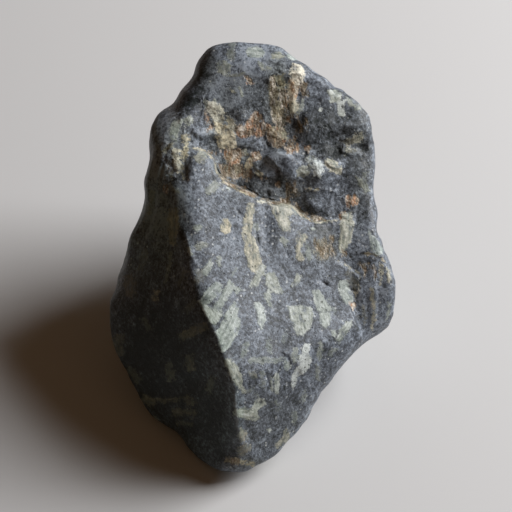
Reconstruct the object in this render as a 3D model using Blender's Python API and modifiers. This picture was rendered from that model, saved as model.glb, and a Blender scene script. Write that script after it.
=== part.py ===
"""A Chinese writing stone: one natural, water-worn piece of dark porphyry with pale feldspar laths.

The stone is drawn face up, as an outline with a height over each point of it, in millimetres:
u runs to the right, v up the face and w out of the face. The face then leans back onto the stone's
foot, the hidden sides are hewn off with flat cuts, and every edge is worn round. What a flake left
when it broke away, ledges, grooves and dents are pressed into the worn surface after that.
"""

import math

import bmesh
import bpy
import numpy as np
from mathutils import Matrix, Vector, noise

MM = 0.001

# Driving dimensions
LEAN_DEG = 42.0  # how far the drawn face leans back from level
FACE_HEIGHT = 39.5  # from the resting plane up to the middle of the drawn face
ROUGH_DEPTH = 90.0  # how far the rough block reaches behind the drawn face
WORN_AWAY = 1.6  # what wear takes off the outline again
GRID = 1.3  # spacing of the points that the facets' heights are set on
FINE_GRID = 0.95  # spacing of the points that the details are pressed into
WEAR_PASSES = 8  # rounds of smoothing, which wear an edge to about 2 mm radius
SOFTENING_PASSES = 1  # the same for the broken edges of the details
TRIANGLES = 9000
STONE_COLOUR = (0.115, 0.125, 0.145, 1.0)

# The outline of the face, clockwise from the top lobe.
OUTLINE = [
    (-5.0, 54.4), (2.5, 53.8), (9.0, 51.6), (12.0, 49.2), (14.4, 46.2), (20.2, 43.6), (25.6, 40.2),
    (29.0, 36.2), (30.5, 29.0), (30.0, 21.0), (30.6, 13.0), (32.9, 3.5), (35.0, -3.5),
    (35.9, -11.0), (34.4, -16.6), (27.8, -21.0), (21.2, -27.8), (16.0, -36.0), (9.2, -45.8),
    (2.6, -51.6), (-4.8, -54.0), (-13.0, -50.4), (-25.8, -40.2), (-33.8, -29.2),
    (-36.2, -18.5), (-34.6, -8.0), (-30.8, 4.0), (-26.8, 14.5), (-25.6, 22.0),
    (-25.4, 31.0), (-22.6, 36.9), (-18.0, 39.6), (-14.2, 45.6), (-11.4, 50.8),
]  # fmt: skip

# Heights of the facets that meet on the face: (at the middle, per mm of u, per mm of v).
LIT_FACE = (5.8, -0.33, -0.27)
FLAKE_SCAR = (-3.8, -0.07, -0.05)
FACETS = {
    "shaded side, low": (27.7, 0.97, 0.21),
    "shaded side, high": (23.8, 0.97, -0.14),
    "shaded side, lowest": (35.4, 1.0, 0.51),
    "nose": (52.4, 0.0, 0.83),
    "low right side": (29.4, -0.66, 0.53),
    "top lobe": (32.4, 0.0, -0.80),
    "top lobe's left": (54.2, 1.2, -1.0),
    "left lobe": (19.0, 0.25, -0.50),
}
FACET_BLEND = 0.7  # softness of the joint between two facets

# The lit face folds flatter on the right of this line, drawn downwards.
RIGHT_FOLD = [(25.0, 14.0), (24.2, 3.0), (23.8, -4.0), (25.4, -13.0), (29.4, -25.0)]
FOLD_SLOPE = 0.36

# The edge that a flake broke away from, down the left and along to the right: its scar lies inside.
SCAR_EDGE = [
    (-13.0, 70.0), (-14.6, 44.0), (-15.4, 38.0), (-15.0, 33.0), (-15.6, 29.0), (-14.6, 26.9),
    (-12.8, 26.7), (-9.8, 25.0), (-8.4, 21.4), (-7.0, 19.6), (-4.0, 17.8), (-0.4, 15.8),
    (1.6, 14.1), (5.2, 13.5), (8.5, 13.2), (11.0, 11.8), (13.2, 10.0), (16.0, 8.7),
    (18.4, 8.6), (22.0, 10.2), (40.0, 12.0),
]  # fmt: skip
SCAR_WALL = 1.6  # width of the slope between the two levels at the edge
SCAR_FADE = 7.0  # how much wider that slope grows towards both ends of the edge
CRISP = 2.6  # distance from the edge within which it has stayed sharp

# Ledges in the face: (line, height on its left side, width of the slope, run to level ground).
LEDGES = {
    "lumps over the trough": (
        [(0.0, 26.0), (1.2, 22.5), (4.2, 20.5), (8.5, 19.5), (12.2, 18.0), (17.8, 16.8), (23.5, 16.8)],
        3.2, 5.0, 9.0,
    ),
    "shelf in the trough": ([(-8.6, 27.0), (-2.2, 26.6), (-0.4, 24.4), (2.4, 24.0)], 1.2, 1.3, 5.0),
    "slab's lower edge": ([(-9.0, 36.4), (-3.0, 34.8), (2.4, 35.8), (3.6, 31.0), (5.0, 28.0)], 1.0, 1.6, 9.0),
    "right slab's lower edge": ([(9.0, 29.0), (15.0, 29.4), (22.0, 30.6), (32.0, 30.0)], 1.8, 5.5, 12.0),
    "lowest lump": ([(12.6, 17.0), (13.2, 14.0), (14.6, 11.4), (17.6, 9.8)], 1.3, 1.3, 5.0),
    "right lobe": ([(24.8, -8.5), (26.6, -16.5), (29.6, -25.4)], -1.5, 1.4, 8.0),
    "kink in the top": ([(16.0, 50.5), (12.6, 45.5), (12.0, 41.0)], -1.2, 1.6, 5.0),
    "left flute": ([(-22.6, 29.0), (-24.2, 14.0), (-27.6, 0.0)], 0.8, 1.6, 6.0),
}  # fmt: skip
LEDGE_FADE = 0.25  # share of a ledge over which it fades in, and out again

# Lumps and dents in the face: (middle, half length along u, half length along v, height).
LUMPS = {
    "upper dark lump": ((6.8, 24.0), 4.4, 2.6, 0.9),
    "lower dark lump": ((7.2, 16.3), 4.2, 1.6, 1.2),
    "right lump": ((16.4, 13.0), 3.2, 2.8, 0.8),
    "upper right lump": ((17.4, 22.2), 5.0, 2.4, 1.2),
    "valley between the lumps": ((12.4, 21.6), 1.6, 3.6, -0.8),
    "trough behind the edge": ((0.6, 18.2), 8.0, 2.2, -1.0),
    "trough's right end": ((12.0, 14.4), 2.4, 2.4, -1.0),
    "far right lump": ((26.4, 21.4), 3.8, 4.2, 1.0),
    "valley by the left lobe": ((-16.8, 23.6), 1.8, 4.4, -1.2),
    "pit by the crystal": ((11.4, 31.8), 1.6, 2.6, -1.8),
    "dent by the ridge": ((-17.8, 19.8), 2.2, 2.4, -1.2),
    "hollow in the slab": ((-3.0, 41.0), 8.0, 6.0, -0.8),
    "left lobe's knob": ((-12.0, 30.8), 3.4, 2.2, 1.2),
    "dip by the pale streak": ((3.4, 7.0), 2.2, 6.0, -0.7),
    "dip under the edge": ((19.6, 5.4), 3.0, 4.0, -0.7),
    "hollow of the lit face": ((9.0, -6.0), 11.0, 8.0, -0.5),
    "swelling by the ridge": ((-5.0, -14.0), 6.0, 9.0, 0.5),
    "lobe's rib": ((30.6, -8.0), 1.6, 8.0, 0.6),
}  # fmt: skip

# Flat cuts that hew the hidden sides: (a point on the cut, its outward direction), standing.
CUTS = {
    "back, upper": ((0.0, 49.5, 58.0), (0.06, 1.0, 0.06)),
    "back, lower": ((4.0, 50.5, 30.0), (-0.08, 1.0, -0.62)),
    "back, low left": ((-16.0, 36.0, 16.0), (-0.50, 0.62, -0.62)),
    "back left": ((-26.5, 31.0, 50.0), (-0.80, 0.58, -0.12)),
    "left, upper": ((-37.0, -3.0, 24.0), (-0.97, 0.10, -0.26)),
    "left, lower": ((-36.0, -8.0, 15.0), (-0.70, 0.10, -0.71)),
    "left, under": ((-26.0, 0.0, 5.2), (-0.42, 0.06, -0.91)),
    "left front": ((-27.0, -23.0, 4.2), (-0.40, -0.24, -0.88)),
    "back right": ((29.0, 33.0, 56.0), (0.80, 0.60, -0.10)),
    "back, low right": ((22.0, 34.0, 18.0), (0.50, 0.60, -0.62)),
    "right, upper": ((36.5, -4.0, 30.0), (0.98, 0.10, -0.16)),
    "right, lower": ((34.5, -6.0, 16.0), (0.74, -0.06, -0.67)),
    "right, under": ((24.0, 0.0, 5.4), (0.40, 0.04, -0.92)),
    "right front": ((18.0, -28.0, 11.0), (0.52, -0.28, -0.81)),
    "front": ((0.0, -41.0, 2.6), (0.10, -0.24, -0.96)),
    "front, under": ((-2.0, -18.0, -0.8), (0.04, -0.16, -0.99)),
}
FOOT_CUT = -1.0  # the rough foot, under the resting plane, so that its rim wears round

# Dents worn into the hidden sides: (middle, radius, depth).
DENTS = [
    ((-10.0, 50.0, 46.0), 14.0, 2.6), ((17.0, 44.0, 36.0), 12.0, 2.2), ((-32.0, 14.0, 30.0), 11.0, 1.8),
    ((34.0, 12.0, 30.0), 10.0, 1.6), ((2.0, 42.0, 16.0), 11.0, 1.8), ((-22.0, -12.0, 4.0), 9.0, 1.2),
    ((20.0, -12.0, 5.0), 8.0, 1.2), ((-18.0, 36.0, 22.0), 9.0, 1.5), ((27.0, 33.0, 50.0), 7.0, 1.2),
]  # fmt: skip
SWELL = 0.7  # height of the slow unevenness of the whole surface
SWELL_LENGTH = 17.0
REST = (Vector((0.0, 0.0, 0.0)), Vector((0.0, 0.0, -1.0)))
LEVEL = 0.06  # points this near the resting plane belong to the foot


def rise(plane, u, v):
    """Height of a sloping facet over points of the face."""
    middle, along_u, along_v = plane
    return middle + along_u * u + along_v * v


def soft_min(heights, softness):
    """The lowest of several heights, rounded where two of them meet."""
    stack = np.stack(heights)
    lowest = stack.min(axis=0)
    return lowest - softness * np.log(np.exp((lowest - stack) / softness).sum(axis=0))


def smooth_step(x):
    x = np.clip(x, 0.0, 1.0)
    return x * x * (3.0 - 2.0 * x)


def side_of(line, u, v):
    """Distance to a line drawn on the face, positive on its left, and the share of it passed."""
    points = np.array(line, float)
    lengths = np.linalg.norm(np.diff(points, axis=0), axis=1)
    marks = np.concatenate([[0.0], np.cumsum(lengths)]) / lengths.sum()
    nearest = np.full(u.shape, np.inf)
    signed = np.zeros(u.shape)
    along = np.zeros(u.shape)
    for number, (start, end) in enumerate(zip(points[:-1], points[1:])):
        way = end - start
        passed = ((u - start[0]) * way[0] + (v - start[1]) * way[1]) / (way @ way)
        passed = np.clip(passed, 0.0, 1.0)
        du = u - start[0] - passed * way[0]
        dv = v - start[1] - passed * way[1]
        distance = np.hypot(du, dv)
        closer = distance < nearest
        nearest = np.where(closer, distance, nearest)
        left = way[0] * dv - way[1] * du > 0.0
        signed = np.where(closer, np.where(left, distance, -distance), signed)
        mark = marks[number] + passed * (marks[number + 1] - marks[number])
        along = np.where(closer, mark, along)
    return signed, along


def facet_height(u, v):
    """Height of the face before it was worn, and how nearly each of its points is on the scar's edge."""
    above, _ = side_of(SCAR_EDGE, u, v)
    beyond, _ = side_of(RIGHT_FOLD, u, v)
    fading = smooth_step((u - 17.0) / 8.0) + smooth_step((-11.0 - u) / 4.0)
    share = smooth_step(above / (SCAR_WALL + SCAR_FADE * fading) + 0.5)
    lit = rise(LIT_FACE, u, v) + FOLD_SLOPE * np.maximum(beyond, 0.0)
    middle = lit + share * (rise(FLAKE_SCAR, u, v) - lit)
    facets = [rise(plane, u, v) for plane in FACETS.values()]
    return soft_min([middle] + facets, FACET_BLEND), np.exp(-((above / CRISP) ** 2)) * (1.0 - fading)


def broken_height(u, v, w):
    """Height of the face with its sharp edge, the ledges and the dents, from its worn height w."""
    sharp, on_edge = facet_height(u, v)
    w = w + on_edge * (sharp - w)
    for line, height, wall, run in LEDGES.values():
        inside, along = side_of(line, u, v)
        ends = smooth_step(along / LEDGE_FADE) * smooth_step((1.0 - along) / LEDGE_FADE)
        levelled = np.exp(-np.maximum(inside - wall / 2.0, 0.0) / run)
        w = w + height * ends * smooth_step(inside / wall + 0.5) * levelled
    for (middle_u, middle_v), half_u, half_v, height in LUMPS.values():
        away = np.hypot((u - middle_u) / half_u, (v - middle_v) / half_v)
        w = w + height * (1.0 - smooth_step(away / 1.5))
    return w


def clear_scene():
    for leftover in list(bpy.data.objects):
        bpy.data.objects.remove(leftover, do_unlink=True)


def coordinates(obj, kind="co"):
    """The corner points of a mesh in millimetres, or with kind "normal" their directions."""
    values = np.empty(len(obj.data.vertices) * 3)
    obj.data.vertices.foreach_get(kind, values)
    return values.reshape(-1, 3) / (MM if kind == "co" else 1.0)


def move_to(obj, points):
    obj.data.vertices.foreach_set("co", np.ascontiguousarray(points * MM, np.float32).ravel())
    obj.data.update()


def apply_modifier(obj, kind, **settings):
    modifier = obj.modifiers.new(kind.title(), kind)
    for name, value in settings.items():
        setattr(modifier, name, value)
    bpy.context.view_layer.objects.active = obj
    bpy.ops.object.modifier_apply(modifier=modifier.name)


def even_grid(obj, spacing):
    apply_modifier(obj, "REMESH", mode="VOXEL", voxel_size=spacing * MM)


def rough_block(collection):
    """A thin slab with the outline of the face, covered with an even grid of points."""
    curve = bpy.data.curves.new("outline", "CURVE")
    curve.dimensions = "2D"
    curve.fill_mode = "BOTH"
    curve.extrude = 3.0 * MM
    curve.offset = WORN_AWAY * MM
    curve.resolution_u = 6
    spline = curve.splines.new("BEZIER")
    spline.bezier_points.add(len(OUTLINE) - 1)
    for point, (u, v) in zip(spline.bezier_points, OUTLINE):
        point.co = (u * MM, v * MM, 0.0)
        point.handle_left_type = point.handle_right_type = "AUTO"
    spline.use_cyclic_u = True
    drawn = bpy.data.objects.new("outline", curve)
    collection.objects.link(drawn)
    bpy.context.view_layer.update()
    mesh = bpy.data.meshes.new_from_object(drawn.evaluated_get(bpy.context.evaluated_depsgraph_get()))
    bpy.data.objects.remove(drawn, do_unlink=True)
    welded = bmesh.new()
    welded.from_mesh(mesh)
    bmesh.ops.remove_doubles(welded, verts=welded.verts, dist=0.01 * MM)
    bmesh.ops.recalc_face_normals(welded, faces=welded.faces)
    welded.to_mesh(mesh)
    welded.free()
    stone = bpy.data.objects.new("stone", mesh)
    collection.objects.link(stone)
    even_grid(stone, GRID)
    return stone


def raise_face(stone):
    """Gives the slab's front the heights of the facets, and takes its back to the rough depth."""
    points = coordinates(stone)
    u, v, w = points.T
    share = (w - w.min()) / (w.max() - w.min())
    height, _ = facet_height(u, v)
    points[:, 2] = -ROUGH_DEPTH + share * (height + ROUGH_DEPTH)
    move_to(stone, points)


def standing():
    """Takes the face from lying flat to its lean on the standing stone."""
    return Matrix.Translation((0.0, 0.0, FACE_HEIGHT * MM)) @ Matrix.Rotation(
        math.radians(LEAN_DEG), 4, "X"
    )


def cut_flat(stone, point, outward):
    """Takes off what lies beyond a plane and closes the stone there."""
    cut = bmesh.new()
    cut.from_mesh(stone.data)
    everything = cut.verts[:] + cut.edges[:] + cut.faces[:]
    made = bmesh.ops.bisect_plane(
        cut, geom=everything, dist=1e-7, plane_co=point, plane_no=outward, clear_outer=True
    )
    rim = [e for e in made["geom_cut"] if isinstance(e, bmesh.types.BMEdge)]
    bmesh.ops.holes_fill(cut, edges=rim)
    bmesh.ops.recalc_face_normals(cut, faces=cut.faces)
    cut.to_mesh(stone.data)
    cut.free()


def hew_hidden_sides(stone):
    cut_flat(stone, Vector((0.0, 0.0, FOOT_CUT * MM)), REST[1])
    for point, outward in CUTS.values():
        cut_flat(stone, Vector(point) * MM, Vector(outward).normalized())


def wear_round(stone):
    even_grid(stone, FINE_GRID)
    apply_modifier(stone, "SMOOTH", factor=0.5, iterations=WEAR_PASSES)


def press_face(stone):
    """Presses the flake scar, grooves and lumps into the face, fading out on the steep sides."""
    stone.data.transform(standing().inverted())
    points = coordinates(stone)
    facing = smooth_step(coordinates(stone, "normal")[:, 2] / 0.4)
    u, v, w = points.T
    points[:, 2] = w + facing * (broken_height(u, v, w) - w)
    move_to(stone, points)
    stone.data.transform(standing())


def press_hidden_sides(stone):
    """Sinks the dents, and lets the whole surface swell and dip slowly."""
    points = coordinates(stone)
    outward = coordinates(stone, "normal")
    sink = np.zeros(len(points))
    for middle, radius, depth in DENTS:
        away = np.linalg.norm(points - np.array(middle), axis=1)
        sink += depth * (1.0 - smooth_step(away / radius))
    swell = np.array([noise.noise(Vector(point) / SWELL_LENGTH) for point in points])
    move_to(stone, points + outward * (SWELL * swell - sink)[:, None])


def thin_out(stone):
    """Keeps the number of triangles down, with the small ones where the surface bends."""
    apply_modifier(stone, "TRIANGULATE")
    apply_modifier(stone, "DECIMATE", ratio=TRIANGLES / len(stone.data.polygons))


def stand_on_foot(stone):
    """Levels the thinned foot and puts the origin under the middle of the stone."""
    points = coordinates(stone)
    points[points[:, 2] < LEVEL, 2] = 0.0
    move_to(stone, points)
    points *= MM
    middle = (points.min(axis=0) + points.max(axis=0)) / 2.0
    stone.data.transform(Matrix.Translation((-middle[0], -middle[1], 0.0)))


def dark_porphyry():
    material = bpy.data.materials.new("dark porphyry")
    material.use_nodes = True
    shader = material.node_tree.nodes["Principled BSDF"]
    shader.inputs["Base Color"].default_value = STONE_COLOUR
    shader.inputs["Roughness"].default_value = 0.7
    shader.inputs["Metallic"].default_value = 0.0
    return material


def main():
    clear_scene()
    collection = bpy.data.collections.new("writing_stone")
    bpy.context.scene.collection.children.link(collection)
    stone = rough_block(collection)
    raise_face(stone)
    stone.data.transform(standing())
    hew_hidden_sides(stone)
    wear_round(stone)
    press_face(stone)
    press_hidden_sides(stone)
    apply_modifier(stone, "SMOOTH", factor=0.5, iterations=SOFTENING_PASSES)
    cut_flat(stone, *REST)
    thin_out(stone)
    stand_on_foot(stone)
    stone.data.materials.append(dark_porphyry())
    stone.data.shade_smooth()


main()
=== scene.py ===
import math

import bpy
import numpy as np
from mathutils import Matrix, Vector


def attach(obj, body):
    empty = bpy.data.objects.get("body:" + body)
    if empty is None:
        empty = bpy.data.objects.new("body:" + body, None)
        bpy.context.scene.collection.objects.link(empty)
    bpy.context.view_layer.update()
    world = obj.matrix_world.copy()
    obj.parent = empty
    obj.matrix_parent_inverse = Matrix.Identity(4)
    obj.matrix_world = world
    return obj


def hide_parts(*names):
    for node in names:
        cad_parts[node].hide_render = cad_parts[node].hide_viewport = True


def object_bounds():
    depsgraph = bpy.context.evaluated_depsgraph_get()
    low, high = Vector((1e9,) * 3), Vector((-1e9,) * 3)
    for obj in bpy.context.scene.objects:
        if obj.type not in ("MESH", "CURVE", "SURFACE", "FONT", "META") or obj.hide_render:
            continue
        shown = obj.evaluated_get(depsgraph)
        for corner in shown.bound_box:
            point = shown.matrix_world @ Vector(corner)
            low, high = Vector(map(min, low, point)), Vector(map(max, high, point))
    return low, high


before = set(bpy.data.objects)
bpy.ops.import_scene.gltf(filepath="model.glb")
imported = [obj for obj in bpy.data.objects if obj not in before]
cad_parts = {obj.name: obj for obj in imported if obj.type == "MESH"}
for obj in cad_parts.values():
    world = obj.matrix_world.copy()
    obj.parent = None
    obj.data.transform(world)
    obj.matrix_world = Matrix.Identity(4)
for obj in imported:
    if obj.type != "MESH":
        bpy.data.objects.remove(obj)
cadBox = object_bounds()

mm = 0.001


def linear(colour):
    # "#rrggbb" as a painter picks it, turned into the linear numbers that nodes use
    parts = [int(colour[i : i + 2], 16) / 255 for i in (1, 3, 5)]
    return [c / 12.92 if c <= 0.04045 else ((c + 0.055) / 1.055) ** 2.4 for c in parts] + [1.0]


def pickOnly(piece):
    bpy.ops.object.select_all(action="DESELECT")
    piece.select_set(True)
    bpy.context.view_layer.objects.active = piece


def finishWith(piece, kind, **settings):
    modifier = piece.modifiers.new(kind.title(), kind)
    for name, value in settings.items():
        setattr(modifier, name, value)
    pickOnly(piece)
    bpy.ops.object.modifier_apply(modifier=modifier.name)


def pointsOf(piece):
    values = np.empty(len(piece.data.vertices) * 3)
    piece.data.vertices.foreach_get("co", values)
    return values.reshape(-1, 3)


def normalsOf(piece):
    values = np.empty(len(piece.data.vertices) * 3)
    piece.data.vertices.foreach_get("normal", values)
    return values.reshape(-1, 3)


def movePoints(piece, points):
    piece.data.vertices.foreach_set("co", np.ascontiguousarray(points, np.float32).ravel())
    piece.data.update()


def smoothStep(x):
    x = np.clip(x, 0.0, 1.0)
    return x * x * (3.0 - 2.0 * x)


# camera, light and floor

cameraSetup = {
    "height": 48.0,  # degrees above the horizon, square on to the leaning face
    "distance": 0.6,
    "target": (-0.000187, -0.004695, 0.0395),  # the middle of the face
    "sheet": 0.128,  # width seen at the face, in metres
    "middle": (251, 256),  # where the target falls on a sheet of 512 by 512 squares
}
windowLight = {"towards": (0.77, 0.28, 0.574), "distance": 1.0, "size": 0.66, "watts": 17.0, "colour": "#ffffff"}
roomGlow = {"strength": 0.066, "colour": "#ffcc9c"}
floorBoard = {"middle": (0.07, 0.03, 0.0), "width": 0.36, "depth": 0.46, "colour": "#cccccd", "roughness": 0.85}


def makeCamera():
    height = math.radians(cameraSetup["height"])
    back = Vector((0.0, -math.cos(height), math.sin(height)))
    data = bpy.data.cameras.new("camera")
    camera = bpy.data.objects.new("camera", data)
    bpy.context.scene.collection.objects.link(camera)
    camera.location = Vector(cameraSetup["target"]) + back * cameraSetup["distance"]
    camera.rotation_euler = (-back).to_track_quat("-Z", "Y").to_euler()
    data.sensor_width = 36.0
    data.lens = data.sensor_width * cameraSetup["distance"] / cameraSetup["sheet"]
    data.shift_x = (256 - cameraSetup["middle"][0]) / 512
    data.shift_y = (cameraSetup["middle"][1] - 256) / 512
    bpy.context.scene.camera = camera


def makeLight(name, setup):
    towards = Vector(setup["towards"]).normalized()
    data = bpy.data.lights.new(name, "AREA")
    data.shape = "SQUARE"
    data.size = setup["size"]
    data.energy = setup["watts"]
    data.color = linear(setup["colour"])[:3]
    lamp = bpy.data.objects.new(name, data)
    lamp.location = towards * setup["distance"]
    lamp.rotation_euler = (-towards).to_track_quat("-Z", "Y").to_euler()
    bpy.context.scene.collection.objects.link(lamp)


def makeRoom():
    world = bpy.data.worlds.new("room")
    bpy.context.scene.world = world
    world.use_nodes = True
    glow = world.node_tree.nodes["Background"]
    glow.inputs["Color"].default_value = linear(roomGlow["colour"])
    glow.inputs["Strength"].default_value = roomGlow["strength"]


def makeFloor():
    bpy.ops.object.select_all(action="DESELECT")
    bpy.ops.mesh.primitive_plane_add(size=1.0, location=floorBoard["middle"])
    floor = bpy.context.object
    floor.name = "floor"
    floor.scale = (floorBoard["width"], floorBoard["depth"], 1.0)
    bpy.ops.object.transform_apply(location=True, rotation=False, scale=True)
    material = bpy.data.materials.new("matt board")  # pale and without shine
    material.use_nodes = True
    shader = material.node_tree.nodes["Principled BSDF"]
    shader.inputs["Base Color"].default_value = linear(floorBoard["colour"])
    shader.inputs["Roughness"].default_value = floorBoard["roughness"]
    floor.data.materials.append(material)


makeCamera()
makeLight("window", windowLight)
makeRoom()
makeFloor()
print("camera, light and floor are in place")

# The stone's leaning face is drawn on a sheet of quarter-millimetre squares laid square on it,
# counted from its top left corner.


def faceView(points):
    # points as seen square on to the face: squares across and down the sheet, and mm out of it
    lean = math.radians(90.0 - cameraSetup["height"])
    local = (points - np.array(cameraSetup["target"])) / mm
    up = local[:, 1] * math.cos(lean) + local[:, 2] * math.sin(lean)
    out = -local[:, 1] * math.sin(lean) + local[:, 2] * math.cos(lean)
    near = cameraSetup["distance"] / mm
    squares = 4.0 * near / (near - out)
    x = cameraSetup["middle"][0] + local[:, 0] * squares
    y = cameraSetup["middle"][1] - up * squares
    return x, y, out


def outOfFace():
    lean = math.radians(90.0 - cameraSetup["height"])
    return np.array([0.0, -math.sin(lean), math.cos(lean)])


def alongLine(line, x, y):
    # distance from a drawn line, positive on its left (on its upper side if drawn to the right),
    # and the share of the line passed
    line = np.array(line, float)
    lengths = np.linalg.norm(np.diff(line, axis=0), axis=1)
    marks = np.concatenate([[0.0], np.cumsum(lengths)]) / lengths.sum()
    nearest = np.full(x.shape, np.inf)
    signed = np.zeros(x.shape)
    share = np.zeros(x.shape)
    for i, (start, end) in enumerate(zip(line[:-1], line[1:])):
        way = end - start
        passed = np.clip(((x - start[0]) * way[0] + (y - start[1]) * way[1]) / (way @ way), 0.0, 1.0)
        dx = x - start[0] - passed * way[0]
        dy = y - start[1] - passed * way[1]
        distance = np.hypot(dx, dy)
        closer = distance < nearest
        nearest = np.where(closer, distance, nearest)
        signed = np.where(closer, np.where(way[0] * dy - way[1] * dx < 0, distance, -distance), signed)
        share = np.where(closer, marks[i] + passed * (marks[i + 1] - marks[i]), share)
    return signed, share


def awayFrom(middle, halfX, halfY, x, y):
    # distance from a round spot's middle, 1 at its rim
    return np.hypot((x - middle[0]) / halfX, (y - middle[1]) / halfY)


def insideOf(outline, x, y):
    # distance from a closed outline, negative inside
    outline = np.array(outline, float)
    nearest = np.full(x.shape, np.inf)
    inside = np.zeros(x.shape, bool)
    for start, end in zip(outline, np.roll(outline, -1, axis=0)):
        way = end - start
        passed = np.clip(((x - start[0]) * way[0] + (y - start[1]) * way[1]) / (way @ way), 0.0, 1.0)
        nearest = np.minimum(nearest, np.hypot(x - start[0] - passed * way[0], y - start[1] - passed * way[1]))
        if way[1] != 0:
            crosses = (start[1] > y) != (end[1] > y)
            inside ^= crosses & (x < start[0] + (y - start[1]) * way[0] / way[1])
    return np.where(inside, -nearest, nearest)


# the surface

surface = {
    "grid": 0.32,  # mm between the points of the surface
    "ease": 10,  # rounds of smoothing that take out the solid's flat triangles
    "swell": 0.10,  # mm given back after the smoothing
    "calmRounds": 90,  # rounds of averaging that even out the scar's coarse steps
    "calmShare": 0.96,
    "scarBlend": 8,  # squares over which the scar's broken ground gives way to worn rock
    "ledgeEnds": 0.15,  # share of a ledge over which it rises at either end
    "crackEnds": 0.3,
    "shown": 0.56,  # share of the triangles kept on the face
    "hidden": 0.11,  # and elsewhere
}
# The flake scar at the top, where the rock is broken and never wore smooth.
scar = [(186, 100), (206, 96), (226, 108), (242, 110), (262, 104), (266, 78), (286, 66), (306, 66),
        (308, 100), (304, 118), (336, 126), (370, 132), (372, 196), (356, 226), (330, 224), (314, 221),
        (302, 216), (292, 207), (270, 203), (256, 198), (236, 188), (219, 176), (214, 160), (204, 150),
        (190, 148), (186, 186), (168, 184), (160, 150), (172, 116)]
# Ledges: line, height in mm on the left side of the line, width of the slope, run to level ground.
ledges = [
    ([(214, 158), (217, 168), (221, 178), (232, 184), (250, 194), (266, 200), (284, 204)], 0.75, 3, 15),
    ([(262, 158), (268, 168), (278, 175), (290, 178), (300, 175)], 0.3, 10, 16),
    ([(302, 190), (306, 203), (314, 211), (327, 216), (338, 214)], 0.25, 9, 14),
    ([(249, 184), (255, 193), (267, 197)], 0.45, 4, 8),
    ([(268, 188), (271, 199), (284, 203)], 0.4, 3, 8),
    ([(320, 191), (311, 188), (303, 188)], 0.4, 2.5, 8),
    ([(338, 144), (343, 154), (353, 157), (362, 153)], 0.45, 4, 10),
    ([(334, 136), (338, 148), (342, 156)], 0.3, 4, 12),
    ([(305, 167), (298, 160), (288, 154), (277, 151), (267, 155), (263, 162)], 1.0, 5, 30),
    ([(214, 137), (210, 129), (202, 126), (194, 128), (190, 134)], 0.5, 4, 26),
    ([(262, 187), (256, 181), (248, 180), (242, 184)], 0.35, 3, 14),
    ([(277, 194), (270, 188), (262, 189), (258, 193)], 0.35, 3, 12),
    ([(262, 155), (250, 153), (238, 151), (226, 152)], 0.3, 3, 24),
    ([(289, 114), (297, 125), (306, 132)], 0.25, 6, 12),
    ([(236, 146), (250, 148), (262, 151)], 0.2, 3, 8),
    ([(191, 146), (203, 149), (215, 148)], 0.45, 4, 12),
    ([(194, 149), (188, 160), (186, 172), (188, 184)], 0.4, 5, 14),
    ([(222, 106), (229, 113), (239, 119), (242, 126)], 0.12, 5, 12),
    ([(270, 207), (275, 222), (281, 236), (288, 248)], 0.06, 12, 14),
    ([(296, 170), (306, 177), (320, 178), (342, 171)], 0.25, 4, 10),
    ([(322, 158), (330, 168), (343, 170)], 0.4, 3, 8),
    ([(268, 134), (266, 143), (268, 150)], -0.25, 3, 10),
    ([(264, 61), (274, 64), (286, 66)], 0.25, 3, 12),
    ([(236, 72), (250, 76), (262, 80), (276, 74)], 0.15, 4, 16),
    ([(334, 260), (346, 266), (356, 273), (361, 279)], -0.35, 4, 12),
    ([(350, 308), (355, 319), (360, 329), (364, 341)], -0.5, 3, 12),
    ([(372, 284), (375, 300), (374, 330)], 0.15, 4, 6),
    ([(380, 284), (380, 305), (378, 324)], 0.12, 4, 6),
    ([(336, 221), (326, 222), (314, 222)], 0.25, 2.5, 10),
    ([(300, 376), (310, 371), (322, 366)], 0.35, 5, 14),
    ([(281, 352), (289, 357), (292, 366)], 0.25, 3, 8),
    ([(236, 408), (248, 405), (264, 404)], -0.3, 3, 12),
    ([(238, 462), (224, 430), (212, 396), (202, 364)], -0.8, 36, 60),
]
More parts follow.
